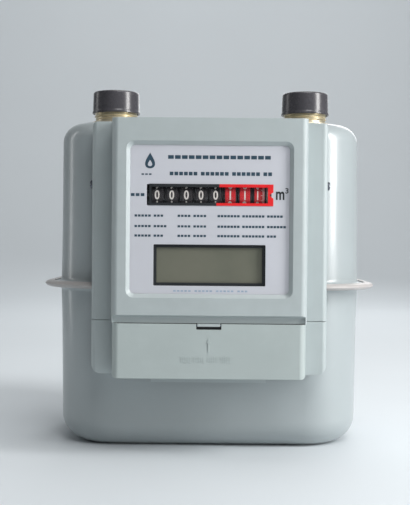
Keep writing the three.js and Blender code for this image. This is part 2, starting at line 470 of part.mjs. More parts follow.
// a diaphragm is a folded ring between the chamber wall and the plate
function diaphragm(y, sign, dy) {
  const inR = 27.4, outR = CHAMBER_R - 1.2, mid = (inR + outR) / 2, t = 0.7, top = [], low = [];
  for (let i = 0; i <= 4; i++) {
    const u = i / 4, r = inR + (outR - inR) * u, h = dy * (1 - u) + sign * 5 * Math.sin(Math.PI * u);
    top.push([r, h + t / 2]);
    low.unshift([r, h - t / 2]);
  }
  return lathe("y", top.concat(low), 36).translate([CHAMBER_X, y, CHAMBER_Z]);
}
add(unit, "front_diaphragm", diaphragm(-27, 1, 0), M.leather);
add(unit, "rear_diaphragm", diaphragm(27, 1, 7), M.leather);
add(unit, "front_diaphragm_plate", join(rod("y", 27, -28, -26, CHAMBER_X, CHAMBER_Z, 30), box(-21.6, -15.6, -26.5, -20, 51, 61)), M.steel);
add(unit, "rear_diaphragm_plate", join(rod("y", 27, 33, 35, CHAMBER_X, CHAMBER_Z, 30), box(-29, -23, 27, 33.5, 51, 61)), M.steel);

// a bar in the XY plane between two points, with round ends
function bar(a, b, half, z0, z1) {
  const dx = b[0] - a[0], dy = b[1] - a[1], l = Math.hypot(dx, dy), g = new THREE.BoxGeometry(l, 2 * half, z1 - z0);
  g.rotateZ(Math.atan2(dy, dx)).translate((a[0] + b[0]) / 2, (a[1] + b[1]) / 2, (z0 + z1) / 2);
  return join(solid(g), rod("z", half, z0, z1, a[0], a[1], 16), rod("z", half, z0, z1, b[0], b[1], 16));
}
const ARM_F = [FLAG_F[0], FLAG_F[1] - ARM_L], ARM_R = [FLAG_R[0] + ARM_L, FLAG_R[1] + 2];
const PIN = [DRIVE_X, CRANK_Y - CRANK_R];
add(unit, "front_flag_rod", join(
  rod("z", ROD_R, 27, 153, ...FLAG_F, 16), bar(FLAG_F, [-26.2, -21.6], 1.5, 52, 60),
  bar(FLAG_F, ARM_F, 3, 151, 153), rod("z", 1.4, 147, 151.5, ...ARM_F, 14)), M.steel);
add(unit, "rear_flag_rod", join(
  rod("z", ROD_R, 27, 153, ...FLAG_R, 16), bar(FLAG_R, [-14, 28.6], 1.5, 52, 60),
  bar(FLAG_R, ARM_R, 3, 151, 153), rod("z", 1.4, 148.8, 151.5, ...ARM_R, 14)), M.steel);
function link(a, b, z0, z1) {
  return cut(bar(a, b, 3.4, z0, z1), rod("z", 1.7, z0 - 1, z1 + 1, ...a, 14), rod("z", 2.1, z0 - 1, z1 + 1, ...b, 14));
}
add(unit, "front_link", link(ARM_F, PIN, 147.4, 148.8), M.steel);
add(unit, "rear_link", link(ARM_R, PIN, 149.2, 150.6), M.steel);

// ------------------------------------------------------------------ outlet pipe and shut-off valve
add(root, "outlet_pipe", lathe("z", [[9.6, 110.3], [13.5, 110.3], [13.5, 113], [11.4, 113.5], [11.4, 195.6], [9.6, 195.6]], 28), M.steel, [PIPE_X, 0, 0]);
add(root, "shutoff_valve_body", cut(
  join(rod("z", 16, 168, 195.6, -PIPE_X, 0, 28), rod("z", 7, 156, 168.5, -PIPE_X, 0, 20)),
  rod("z", 10.5, 186, 200, -PIPE_X, 0, 24), rod("z", 12.5, 172, 186.01, -PIPE_X, 0, 24),
  box(-PIPE_X - 20, -PIPE_X + 20, -6, 6, 173, 184), rod("z", 2.3, 160, 173, -PIPE_X, 0, 14)), M.black);
add(root, "shutoff_plunger", join(rod("z", 11.8, 176, 178.2, -PIPE_X, 0, 24), rod("z", 2, 163, 176.5, -PIPE_X, 0, 14)), M.rubber);

export default part;
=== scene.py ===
# Looks of the gas meter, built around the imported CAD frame. Lengths in the helpers are millimetres.
import bpy
import bmesh
import math
import random
from mathutils import Vector, Matrix
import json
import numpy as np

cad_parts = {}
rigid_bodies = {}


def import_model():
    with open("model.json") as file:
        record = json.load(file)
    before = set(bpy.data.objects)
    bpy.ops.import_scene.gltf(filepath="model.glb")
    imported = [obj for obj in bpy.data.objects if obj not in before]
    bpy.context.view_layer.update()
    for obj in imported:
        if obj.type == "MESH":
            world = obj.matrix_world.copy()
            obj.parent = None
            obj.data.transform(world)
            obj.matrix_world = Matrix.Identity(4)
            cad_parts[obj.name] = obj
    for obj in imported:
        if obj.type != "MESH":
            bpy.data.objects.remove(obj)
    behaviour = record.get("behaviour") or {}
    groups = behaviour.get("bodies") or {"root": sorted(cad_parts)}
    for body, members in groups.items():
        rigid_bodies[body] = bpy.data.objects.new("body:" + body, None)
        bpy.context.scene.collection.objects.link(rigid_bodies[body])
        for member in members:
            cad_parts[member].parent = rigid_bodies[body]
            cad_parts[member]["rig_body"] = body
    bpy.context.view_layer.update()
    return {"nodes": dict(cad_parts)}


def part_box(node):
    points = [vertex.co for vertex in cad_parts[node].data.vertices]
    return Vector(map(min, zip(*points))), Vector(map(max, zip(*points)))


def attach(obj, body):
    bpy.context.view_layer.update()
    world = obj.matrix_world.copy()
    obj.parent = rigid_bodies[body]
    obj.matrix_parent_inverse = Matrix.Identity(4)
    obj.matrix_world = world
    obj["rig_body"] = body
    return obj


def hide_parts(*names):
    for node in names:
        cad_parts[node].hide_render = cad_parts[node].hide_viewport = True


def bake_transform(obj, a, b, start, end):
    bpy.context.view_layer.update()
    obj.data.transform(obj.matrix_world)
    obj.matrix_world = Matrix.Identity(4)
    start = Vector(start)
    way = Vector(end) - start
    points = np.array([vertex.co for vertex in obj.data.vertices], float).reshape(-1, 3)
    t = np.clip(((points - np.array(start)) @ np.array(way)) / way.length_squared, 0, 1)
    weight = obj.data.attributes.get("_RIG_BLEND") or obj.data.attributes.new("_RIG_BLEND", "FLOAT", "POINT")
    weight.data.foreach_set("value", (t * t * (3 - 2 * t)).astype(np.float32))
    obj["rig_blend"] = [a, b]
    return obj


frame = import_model()
NODES = frame["nodes"]
MM = 0.001
rng = random.Random(7)
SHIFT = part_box("inlet_connector")[1][2] / MM - 227.0   # heights below are measured from the case datum

# ------------------------------------------------------------------ camera, light, floor
scene = bpy.context.scene
scene.view_settings.view_transform = "Standard"
scene.view_settings.look = "None"
cam_data = bpy.data.cameras.new("camera")
cam_data.lens = 69.3
cam_data.sensor_width = 36
cam_data.clip_start = 0.01
cam = bpy.data.objects.new("camera", cam_data)
scene.collection.objects.link(cam)
cam.location = (0.0, -0.672, 0.1335)
cam.rotation_euler = (Matrix.Rotation(math.radians(0.26), 3, "Z") @ Matrix.Rotation(math.radians(90 - 0.91), 3, "X") @ Matrix.Rotation(math.radians(0.48), 3, "Z")).to_euler()
scene.camera = cam

world = bpy.data.worlds.new("studio")
world.use_nodes = True
world.node_tree.nodes["Background"].inputs[0].default_value = (0.95, 0.98, 1.0, 1)
world.node_tree.nodes["Background"].inputs[1].default_value = 0.11
scene.world = world


def area(name, loc, target, size, size_y, power, color=(1, 1, 1)):
    d = bpy.data.lights.new(name, "AREA")
    d.shape = "RECTANGLE"
    d.size, d.size_y, d.energy, d.color = size, size_y, power, color
    o = bpy.data.objects.new(name, d)
    scene.collection.objects.link(o)
    o.location = loc
    o.rotation_euler = (Vector(target) - Vector(loc)).to_track_quat("-Z", "Y").to_euler()
    return o


area("key", (1.0, -0.50, 0.55), (0, -0.02, 0.11), 0.30, 0.9, 15.5, (1, 0.99, 0.98))
area("front_fill", (0.3, -0.95, 1.15), (0, 0, 0.11), 0.6, 0.45, 6.2)
area("top", (0.1, 0.0, 1.0), (0, 0, 0.15), 0.7, 0.5, 2.5)
area("left_edge", (-0.8, 0.2, 0.3), (-0.05, 0, 0.11), 0.12, 0.7, 0.7)
area("back_fill", (0.2, 1.2, 0.7), (0, 0, 0.11), 0.9, 0.7, 4)
area("backdrop", (0, 0.9, 1.6), (0, 2.2, 0.7), 2.4, 0.5, 13)


# ------------------------------------------------------------------ materials
def material(name, color, rough=0.45, metal=0.0, var=0.06, var_scale=25.0, fine=(900.0, 0.08, 0.00008),
             rough_var=0.06, edge_lighten=0.0, coat=0.0, alpha=1.0, spec=0.5, stretch=(1, 1, 1), second=None, transmission=0.0, sheen=0.0):
    m = bpy.data.materials.new(name)
    m.use_nodes = True
    nt = m.node_tree
    N, L = nt.nodes, nt.links
    b = N["Principled BSDF"]
    b.inputs["Metallic"].default_value = metal
    b.inputs["Specular IOR Level"].default_value = spec
    b.inputs["Coat Weight"].default_value = coat
    b.inputs["Coat Roughness"].default_value = 0.12
    b.inputs["Alpha"].default_value = alpha
    b.inputs["Transmission Weight"].default_value = transmission
    b.inputs["Sheen Weight"].default_value = sheen
    tc = N.new("ShaderNodeTexCoord")
    mp = N.new("ShaderNodeMapping")
    mp.inputs["Scale"].default_value = stretch
    L.new(tc.outputs["Object"], mp.inputs["Vector"])
    # slow colour variation
    n1 = N.new("ShaderNodeTexNoise")
    n1.inputs["Scale"].default_value = var_scale
    n1.inputs["Detail"].default_value = 5
    L.new(mp.outputs["Vector"], n1.inputs["Vector"])
    ramp = N.new("ShaderNodeValToRGB")
    lo = [max(0, c * (1 - var)) for c in color]
    hi = [min(1, c * (1 + var)) for c in (second or color)]
    ramp.color_ramp.elements[0].position, ramp.color_ramp.elements[1].position = 0.3, 0.7
    ramp.color_ramp.elements[0].color = (*lo, 1)
    ramp.color_ramp.elements[1].color = (*hi, 1)
    L.new(n1.outputs["Fac"], ramp.inputs["Fac"])
    out = ramp.outputs["Color"]
    # edges made lighter: a lighter copy of the base colour is mixed in where pointiness marks a sharp convex edge
    if edge_lighten:
        g = N.new("ShaderNodeNewGeometry")
        n4 = N.new("ShaderNodeTexNoise")
        n4.inputs["Scale"].default_value = 160
        n4.inputs["Detail"].default_value = 4
        L.new(tc.outputs["Object"], n4.inputs["Vector"])
        add = N.new("ShaderNodeMath")
        add.operation = "MULTIPLY_ADD"
        L.new(n4.outputs["Fac"], add.inputs[0])
        add.inputs[1].default_value = 0.10
        L.new(g.outputs["Pointiness"], add.inputs[2])
        r2 = N.new("ShaderNodeMapRange")
        r2.inputs["From Min"].default_value = 0.585
        r2.inputs["From Max"].default_value = 0.66
        r2.inputs["To Max"].default_value = edge_lighten
        L.new(add.outputs[0], r2.inputs["Value"])
        mx = N.new("ShaderNodeMix")
        mx.data_type = "RGBA"
        L.new(r2.outputs["Result"], mx.inputs["Factor"])
        L.new(out, mx.inputs["A"])
        mx.inputs["B"].default_value = (*[min(1, c * 1.35 + 0.05) for c in color], 1)
        out = mx.outputs["Result"]
    L.new(out, b.inputs["Base Color"])
    # roughness variation
    n2 = N.new("ShaderNodeTexNoise")
    n2.inputs["Scale"].default_value = var_scale * 4
    n2.inputs["Detail"].default_value = 6
    L.new(mp.outputs["Vector"], n2.inputs["Vector"])
    mr = N.new("ShaderNodeMapRange")
    mr.inputs["From Min"].default_value, mr.inputs["From Max"].default_value = 0.3, 0.7
    mr.inputs["To Min"].default_value = max(0.02, rough - rough_var)
    mr.inputs["To Max"].default_value = min(1, rough + rough_var)
    L.new(n2.outputs["Fac"], mr.inputs["Value"])
    L.new(mr.outputs["Result"], b.inputs["Roughness"])
    # fine surface: grain or orange peel
    if fine:
        n3 = N.new("ShaderNodeTexNoise")
        n3.inputs["Scale"].default_value = fine[0]
        n3.inputs["Detail"].default_value = 3
        L.new(mp.outputs["Vector"], n3.inputs["Vector"])
        bp = N.new("ShaderNodeBump")
        bp.inputs["Strength"].default_value = min(1.0, fine[1] * 6)
        bp.inputs["Distance"].default_value = fine[2]
        L.new(n3.outputs["Fac"], bp.inputs["Height"])
        L.new(bp.outputs["Normal"], b.inputs["Normal"])
    return m


def srgb(r, g, b):
    def f(v):
        v /= 255
        return v / 12.92 if v <= 0.04045 else ((v + 0.055) / 1.055) ** 2.4
    return (f(r), f(g), f(b))


PAINT = material("case_paint", srgb(162, 170, 172), 0.33, 0.0, 0.035, 18, (650, 0.05, 0.00006), 0.04, edge_lighten=0.22, coat=0.35)
PLASTIC = material("housing_plastic", srgb(171, 180, 181), 0.44, 0.0, 0.03, 30, (1900, 0.06, 0.00004), 0.05, edge_lighten=0.15)
LID = material("lid_plastic", srgb(170, 180, 179), 0.46, 0.0, 0.035, 34, (1900, 0.06, 0.00004), 0.05, edge_lighten=0.15)
BAND = material("band_paint", srgb(177, 173, 171), 0.42, 0.0, 0.05, 40, (700, 0.05, 0.00004), 0.06, edge_lighten=0.3, coat=0.1)
ZINC = material("union_zinc", srgb(214, 206, 186), 0.38, 0.8, 0.06, 60, (1200, 0.06, 0.00003), 0.08, edge_lighten=0.3, second=srgb(214, 204, 176))
CAP = material("cap_plastic", (0.062, 0.060, 0.068), 0.27, 0.0, 0.07, 60, (800, 0.03, 0.00002), 0.03, edge_lighten=0.05, spec=0.6)
RUBBER = material("rubber", (0.018, 0.018, 0.018), 0.75, 0.0, 0.2, 90, (1500, 0.12, 0.00008))
LABEL = material("nameplate", srgb(194, 196, 203), 0.62, 0.0, 0.02, 45, (2200, 0.03, 0.00002), 0.05)
INK = material("ink_teal", srgb(40, 66, 82), 0.5, 0.0, 0.15, 400, None)
INK_PALE = material("ink_pale", srgb(150, 168, 186), 0.5, 0.0, 0.10, 400, None)
BLACK = material("satin_black", (0.009, 0.012, 0.015), 0.5, 0.0, 0.2, 70, (1600, 0.05, 0.00003), edge_lighten=0.1)
WHEEL_BLACK = material("wheel_black", (0.030, 0.026, 0.029), 0.34, 0.0, 0.25, 120, (1500, 0.05, 0.00003))
WHEEL_RED = material("wheel_red", srgb(206, 34, 42), 0.38, 0.0, 0.10, 120, (1500, 0.05, 0.00003))
FRAME_RED = material("frame_red", srgb(226, 34, 38), 0.4, 0.0, 0.06, 120, (1800, 0.04, 0.00002))
DIGIT = material("digit_white", srgb(232, 226, 220), 0.5, 0.0, 0.04, 300, None)
LCD = material("lcd_glass", srgb(105, 107, 95), 0.38, 0.0, 0.05, 35, None, 0.03, second=srgb(110, 110, 98), coat=0.08, spec=0.3)
CLEAR = material("window_clear", (0.10, 0.11, 0.12), 0.04, 0.0, 0.05, 30, None, 0.01, alpha=0.05)
WHITE_ABS = material("gear_white", srgb(222, 219, 208), 0.42, 0.0, 0.03, 60, (1400, 0.05, 0.00004))
STEEL = material("steel", (0.55, 0.55, 0.56), 0.30, 1.0, 0.05, 60, (900, 0.06, 0.00002), 0.05, stretch=(1, 1, 4))
BRASS = material("brass", srgb(196, 160, 90), 0.28, 1.0, 0.10, 60, (900, 0.08, 0.00003), 0.08)
PHENOLIC = material("measuring_plastic", srgb(196, 190, 170), 0.5, 0.0, 0.06, 50, (1100, 0.08, 0.00006))
CLOTH = material("diaphragm", srgb(96, 76, 58), 0.8, 0.0, 0.15, 80, (2200, 0.16, 0.00015), sheen=0.3)
BOARD = material("board", srgb(26, 96, 62), 0.4, 0.0, 0.12, 220, (1500, 0.05, 0.00004))
CELL = material("cell_sleeve", srgb(40, 96, 150), 0.25, 0.0, 0.05, 50, (900, 0.03, 0.00003), coat=0.4)
DARK = material("holder_black", (0.02, 0.02, 0.023), 0.5, 0.0, 0.2, 60, (1300, 0.08, 0.00005))
SCREW = material("screw_steel", (0.13, 0.14, 0.16), 0.34, 1.0, 0.12, 200, (1500, 0.1, 0.00004))


# ------------------------------------------------------------------ mesh helpers
def finish_mesh(me, angle=32):
    bm = bmesh.new()
    bm.from_mesh(me)
    bmesh.ops.remove_doubles(bm, verts=bm.verts, dist=2e-7)
    bmesh.ops.dissolve_degenerate(bm, edges=bm.edges, dist=1e-7)
    loose = [v for v in bm.verts if not v.link_faces]
    bmesh.ops.delete(bm, geom=loose, context="VERTS")
    bmesh.ops.recalc_face_normals(bm, faces=bm.faces)
    bm.to_mesh(me)
    bm.free()
    me.shade_smooth()
    me.set_sharp_from_angle(angle=math.radians(angle))
    me.update()


def raw(name, verts, faces):
    me = bpy.data.meshes.new(name)
    me.from_pydata([Vector((v[0], v[1], v[2] + SHIFT)) * MM for v in verts], [], faces)
    o = bpy.data.objects.new(name, me)
    scene.collection.objects.link(o)
    bm = bmesh.new()
    bm.from_mesh(me)
    bmesh.ops.recalc_face_normals(bm, faces=bm.faces)
    bm.to_mesh(me)
    bm.free()
    return o


def bake(o):
    dg = bpy.context.evaluated_depsgraph_get()
    dg.update()
    me = bpy.data.meshes.new_from_object(o.evaluated_get(dg))
    o.modifiers.clear()
    old = o.data
    o.data = me
    bpy.data.meshes.remove(old)
    return o


def boolean(o, other, op="DIFFERENCE"):
    m = o.modifiers.new("b", "BOOLEAN")
    m.operation, m.solver, m.object = op, "EXACT", other
    bake(o)
    bpy.data.objects.remove(other)
    return o


def cut(o, *others):
    for x in others:
        boolean(o, x)
    return o


def join(o, *others):
    for x in others:
        boolean(o, x, "UNION")
    return o


def bevel(o, width, segments=3, angle=35):
    m = o.modifiers.new("v", "BEVEL")
    m.width, m.segments, m.limit_method, m.angle_limit = width * MM, segments, "ANGLE", math.radians(angle)
    m.use_clamp_overlap = True
    m.miter_outer = "MITER_ARC"
    return bake(o)


def place(o, mat, body="case", nodes=(), angle=32):
    finish_mesh(o.data, angle)
    wn = o.modifiers.new("n", "WEIGHTED_NORMAL")
    wn.keep_sharp, wn.weight = True, 80
    o.data.materials.clear()
    o.data.materials.append(mat)
    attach(o, body)
    if nodes:
        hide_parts(*nodes)
    return o


def prism(name, pts, a, b, axis="z"):
    n = len(pts)
    def p(u, v, h):
        return {"z": (u, v, h), "y": (u, h, v), "x": (h, u, v)}[axis]
    verts = [p(u, v, a) for u, v in pts] + [p(u, v, b) for u, v in pts]
    faces = [tuple(range(n)), tuple(range(n, 2 * n))] + [(i, (i + 1) % n, n + (i + 1) % n, n + i) for i in range(n)]
    return raw(name, verts, faces)


def block(x0, x1, y0, y1, z0, z1, name="t"):
    return prism(name, [(x0, y0), (x1, y0), (x1, y1), (x0, y1)], z0, z1)


def arc(cx, cy, r, a0, a1, n):
    return [(cx + r * math.cos(math.radians(a0 + (a1 - a0) * i / n)), cy + r * math.sin(math.radians(a0 + (a1 - a0) * i / n))) for i in range(n + 1)]


def rrect(hx, hy, r, n=12, cx=0.0, cy=0.0):
    r = max(r, 0.02)
    return (arc(cx + hx - r, cy - hy + r, r, -90, 0, n) + arc(cx + hx - r, cy + hy - r, r, 0, 90, n)
            + arc(cx - hx + r, cy + hy - r, r, 90, 180, n) + arc(cx - hx + r, cy - hy + r, r, 180, 270, n))


def rod(axis, r, a, b, p=0.0, q=0.0, n=48, name="t"):
    return prism(name, [(p + r * math.cos(2 * math.pi * i / n), q + r * math.sin(2 * math.pi * i / n)) for i in range(n)], a, b, axis)


def loft(name, rings, closed=False):
    n = len(rings[0])
    verts = [v for r in rings for v in r]
    faces = []
    for k in range(len(rings) if closed else len(rings) - 1):
        a, b = k * n, ((k + 1) % len(rings)) * n
        faces += [(a + i, a + (i + 1) % n, b + (i + 1) % n, b + i) for i in range(n)]
    if not closed:
        faces += [tuple(range(n)), tuple(range((len(rings) - 1) * n, len(rings) * n))]
    return raw(name, verts, faces)


def lathe(name, prof, axis="z", n=72, at=(0, 0, 0), closed=True):
    rings = []
    for r, h in prof:
        ring = []
        for i in range(n):
            a = 2 * math.pi * i / n
            u, v = r * math.cos(a), r * math.sin(a)
            q = {"z": (u, v, h), "x": (h, u, v), "y": (u, h, v)}[axis]
            ring.append((q[0] + at[0], q[1] + at[1], q[2] + at[2]))
        rings.append(ring)
    return loft(name, rings, closed)


def refine(node, mat, width=0.25, segments=2, angle=32):
    """A node's own shape with its edges broken and its coplanar triangles merged."""
    src = NODES[node]
    me = src.data.copy()
    me.materials.clear()
    o = bpy.data.objects.new(node + "_skin", me)
    scene.collection.objects.link(o)
    bm = bmesh.new()
    bm.from_mesh(me)
    bmesh.ops.remove_doubles(bm, verts=bm.verts, dist=1e-6)
    bmesh.ops.dissolve_limit(bm, angle_limit=math.radians(0.6), verts=bm.verts, edges=bm.edges)
    bm.to_mesh(me)
    bm.free()
    if width:
        bevel(o, width, segments, 35)
    return place(o, mat, src["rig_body"], [node], angle)


# ------------------------------------------------------------------ case halves
HX, HY, CR = 98.0, 62.0, 38.0


def case_ring(off, z, n=18):
    return [(x, y, z) for x, y in rrect(HX - off, HY - off, CR - off, n)]


def fillet(cx, cz, r, a0, a1, n):
    return [(cx + r * math.cos(math.radians(a0 + (a1 - a0) * i / n)), cz + r * math.sin(math.radians(a0 + (a1 - a0) * i / n))) for i in range(n + 1)]


outer = [(-9.2, 100.45)] + fillet(-3.2, 103.7, 3.2, -90, 0, 7) + [(0.3, 118), (0.5, 145), (0.6, 172)] + fillet(12.7, 191.5, 12, 180, 90, 12) + [(18, 203.5), (30, 203.5), (36.5, 203.5)]
inner = [(36.5, 202.5), (30, 202.5), (18, 202.5)] + fillet(12.7, 191.5, 11, 90, 180, 8) + [(1.6, 172), (1.3, 118)] + fillet(-3.2, 103.7, 3.9, 0, -90, 6) + [(-9.2, 99.8)]
upper = loft("upper_case_shell", [case_ring(o, z) for o, z in outer[::-1] + inner[::-1]])
cut(upper, rod("z", 15.3, 190, 212, -65, 0), rod("z", 15.3, 190, 212, 65, 0), rod("y", 5.3, -70, -50, 39.7, 128))
place(upper, PAINT, "case", ["upper_case"], 40)

outer = [(-9.2, 97.95)] + fillet(-3.2, 94.7, 3.2, 90, 0, 7) + [(0.6, 75), (0.9, 50), (1.2, 30)] + fillet(18.4, 13.5, 17, 180, 270, 14) + [(26, -3.5), (36.5, -3.5)]
inner = [(36.5, -2.5), (26, -2.5)] + fillet(18.4, 13.5, 16, 270, 180, 10) + [(2.0, 40), (1.6, 75)] + fillet(-3.2, 94.7, 3.9, 0, 90, 6) + [(-9.2, 98.6)]
lower = loft("lower_case_shell", [case_ring(o, z) for o, z in outer[::-1] + inner[::-1]])
place(lower, PAINT, "case", ["lower_case"], 40)

# clamp band: a V section rolled over the two flanges, its lips turned in against them
half = [(-4.7, 1.6), (-4.72, 1.95), (-4.95, 2.12), (-5.3, 2.15), (-6.4, 2.1), (-7.6, 1.98), (-8.7, 1.72), (-9.5, 1.3), (-10.1, 0.8), (-10.44, 0.35), (-10.54, 0.0)]
skin = [(-4.7, 1.45), (-5.2, 1.5), (-7.0, 1.42), (-8.6, 1.36), (-9.4, 1.0), (-9.7, 0.5), (-9.8, 0.0)]
prof = [(o, 99.2 + h) for o, h in half] + [(o, 99.2 - h) for o, h in half[-2::-1]] + [(o, 99.2 - h) for o, h in skin] + [(o, 99.2 + h) for o, h in skin[-2::-1]]
band = loft("clamp_band_rolled", [case_ring(o, z, 20) for o, z in prof], closed=True)
place(band, BAND, "case", ["clamp_band"], 45)

# ------------------------------------------------------------------ unions and caps
for side, x in (("inlet", -65.0), ("outlet", 65.0)):
    n, pitch = 96, 2.0
    rings = []
    prof = [(11.0, 196.0), (14.9, 196.0), (14.9, 203.8), (17.4, 203.8), (18.1, 204.3), (18.3, 204.9), (18.3, 207.2), (18.0, 207.8), (17.2, 208.0), (13.9, 208.0), (13.9, 209.4)]
    for r, h in prof:
        rings.append([(x + r * math.cos(2 * math.pi * i / n), r * math.sin(2 * math.pi * i / n), h) for i in range(n)])
    z = 209.6
    while z < 225.8:
        ring = []
        for i in range(n):
            f = ((z / pitch) - i / n) % 1.0
            tri = 1 - abs(2 * f - 1)
            depth = 1.05 * min(1.0, max(0.0, 1.25 * tri - 0.12))
            fade = min(1.0, (z - 209.6) / 1.5, (225.8 - z) / 1.0)
            r = 14.85 - 1.05 + depth * max(0.0, fade)
            ring.append((x + r * math.cos(2 * math.pi * i / n), r * math.sin(2 * math.pi * i / n), z))
        rings.append(ring)
        z += 0.22
    for r, h in [(13.8, 225.9), (13.3, 226.7), (12.8, 227.0), (11.5, 227.0), (11.0, 226.6)]:
        rings.append([(x + r * math.cos(2 * math.pi * i / n), r * math.sin(2 * math.pi * i / n), h) for i in range(n)])
    place(loft(side + "_union", rings, closed=True), ZINC, "case", [side + "_connector"], 40)
    rim = [(15.2, 214.0), (16.1, 214.0), (16.3, 214.15), (16.35, 214.5), (16.35, 215.2), (16.2, 215.6), (16.0, 216.0), (15.95, 216.6), (15.85, 221), (15.7, 226.4)]
    top = [(14.2 + 1.5 * math.cos(a), 227.3 + 1.6 * math.sin(a)) for a in [math.radians(12 * i) for i in range(1, 8)]]
    prof = rim + top + [(13.6, 228.9), (12.6, 228.85), (12.1, 228.6), (0.01, 228.6)]
    inside = [(0.01, 227.4), (14.6, 227.4), (15.1, 226.9), (15.2, 216)]
    place(lathe(side + "_dust_cap", prof + inside, at=(x, 0, 0), n=80), CAP, side + "_cap_body", [side + "_cap"], 40)


# ------------------------------------------------------------------ front cover
def stepped(w, p, yb, yw, yf, r, n=8, q=None):
    q = q or r
    return ([(-w, yb)] + arc(-w + r, yw + r, r, 180, 270, n) + [(-p, yw)] + arc(-p + q, yf + q, q, 180, 270, n)
            + arc(p - q, yf + q, q, 270, 360, n) + [(p, yw)] + arc(w - r, yw + r, r, 270, 360, n) + [(w, yb)])


def xz_ring(x0, x1, z0, z1, r, y, n=8):
    return [(u, y, v) for u, v in rrect((x1 - x0) / 2, (z1 - z0) / 2, r, n, (x0 + x1) / 2, (z0 + z1) / 2)]


cover = prism("front_cover_shell", stepped(72.2, 58, -64.6, -78, -101, 3.2, 8, 4.2), 79, 200)
for s in (-1, 1):
    corner = block(min(s * 68.7, s * 76), max(s * 68.7, s * 76), -82, -60, 196.5, 205)
    cut(corner, rod("y", 3.5, -90, -50, s * 68.7, 196.5, 40))
    cut(cover, corner)
bevel(cover, 1.3, 4, 50)
cut(cover, prism("t", stepped(70.2, 56, -59.6, -76, -99, 1.5, 4), 74, 198))
recess = loft("t", [xz_ring(-50.4, 50.4, 92.8, 187.6, 5.4, -102.0), xz_ring(-49.2, 49.2, 94, 186.4, 4.6, -101.0), xz_ring(-46.9, 46.9, 96.4, 184.0, 3.0, -98.9), xz_ring(-46.8, 46.8, 96.5, 183.9, 3.0, -95.0)])
cut(cover, recess)
join(cover, block(-56.5, 56.5, -99.3, -79, 79.0, 80.8), block(-56.5, 56.5, -98.8, -96.2, 79.05, 85.4))
cut(cover, prism("t", [(-102, 78), (-97.9, 78), (-97.9, 81.9), (-98.3, 82.6), (-101.01, 83.8), (-102, 83.8)], -57, 57, "x"))
for x in (-53.7, 53.7):
    for z in (89, 138.5):
        join(cover, rod("y", 1.9, -99.3, -90.4, x, z, 24))
cut(cover, block(-7.3, 7.3, -96, -90.5, 78, 87), block(-80, 80, -75.0, -60, 96.45, 101.95), rod("x", 1.5, -80, 80, -70.5, 162, 24))
place(cover, PLASTIC, "case", ["front_cover"], 35)

refine("cover_base", PLASTIC, 0.5, 3, 35)
latch = refine("lid_latch", PLASTIC, 0.2, 2, 35)
lo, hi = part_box("lid_latch")
lip = block(lo[0] / MM + 0.1, hi[0] / MM - 0.1, -100.55, -99.98, 77.2, 77.9)
bevel(lip, 0.12, 2)
place(lip, PLASTIC, "latch")
lip.name = "latch_lip"

# ------------------------------------------------------------------ battery lid
lid = prism("battery_lid_shell", [(-57.4, -78.3)] + arc(-53.2, -96.3, 4.2, 180, 270, 8) + arc(53.2, -96.3, 4.2, 270, 360, 8) + [(57.4, -78.3)], 46.3, 78.7)
for s in (-1, 1):
    a, b = sorted((s * 54.9, s * 60))
    cut(lid, cut(block(a, b, -104, -70, 44, 48.8), rod("y", 2.5, -105, -69, s * 54.9, 48.8, 40)))
bevel(lid, 0.8, 4, 50)
cut(lid, block(-55.6, 55.6, -98.7, -70, 48.1, 84))
for s in (-1, 1):
    a, b = sorted((s * 55.6, s * 57.4))
    c, d = sorted((s * 57, s * 59.6))
    join(lid, block(a, b, -80, -76.5, 46.3, 50.9), rod("x", 2.3, a, b, -76.5, 48.6, 32), rod("x", 1.0, c, d, -76.5, 48.6, 24))
notch = block(-7.4, 7.4, -103, -96.5, 75.4, 84)
cut(lid, notch)
place(lid, LID, "lid", ["battery_lid"], 35)
# arrow and a row of small ribs moulded on the lid
arrow = prism("lid_arrow", [(-0.45, 62.2), (0.45, 62.2), (0.45, 67.4), (1.4, 67.4), (0, 70.0), (-1.4, 67.4), (-0.45, 67.4)], -100.86, -100.3, "y")
bevel(arrow, 0.08, 2)
place(arrow, LID, "lid")
ribs = []
for i in range(24):
    x = -16.2 + i * 1.3
    if i % 6 != 5:
        h = 1.3 + 1.1 * rng.random()
        ribs.append((x, x + 0.55, 57.6 - h, 57.6 + h))


# ------------------------------------------------------------------ nameplate
def window_ring(r, y, pad=0.0):
    return r


plate = prism("nameplate_sheet", rrect(50.7, 47.7, 3.0, 8, 0, 140.2), -98.7, -97.5, "y")
cut(plate, prism("t", rrect(36.7, 6.2, 0.3, 3, -0.5, 154.8), -110, -90, "y"), prism("t", rrect(33.1, 12.2, 0.6, 4, 0, 113.3), -110, -90, "y"))
bevel(plate, 0.15, 2, 60)
place(plate, LABEL, "case", ["nameplate"], 35)

INK_Y = (-98.74, -98.69)


def ink(name, bars, mat, y=INK_Y, body="case"):
    verts, faces = [], []
    for x0, x1, z0, z1 in bars:
        k = len(verts)
        for yy in y:
            verts += [(x0, yy, z0), (x1, yy, z0), (x1, yy, z1), (x0, yy, z1)]
        faces += [(k, k + 1, k + 2, k + 3), (k + 4, k + 7, k + 6, k + 5)] + [(k + i, k + 4 + i, k + 4 + (i + 1) % 4, k + (i + 1) % 4) for i in range(4)]
    o = raw(name, verts, faces)
    return place(o, mat, body)


def ticks(x0, x1, z, h, cell, gap, rows=3, cols=3, fill=0.74, word=None, fit=1.0):
    """A row of plain short bars, one to a cell: it has the weight of print and spells nothing."""
    out, x, k = [], x0, 0
    while x + cell <= x1 + 0.01:
        out.append((x, x + cell * fit, z - h * 0.24, z + h * 0.24))
        k += 1
        x += cell + gap
        if word and k % word == 0:
            x += gap * 1.6 + 0.5
    return out


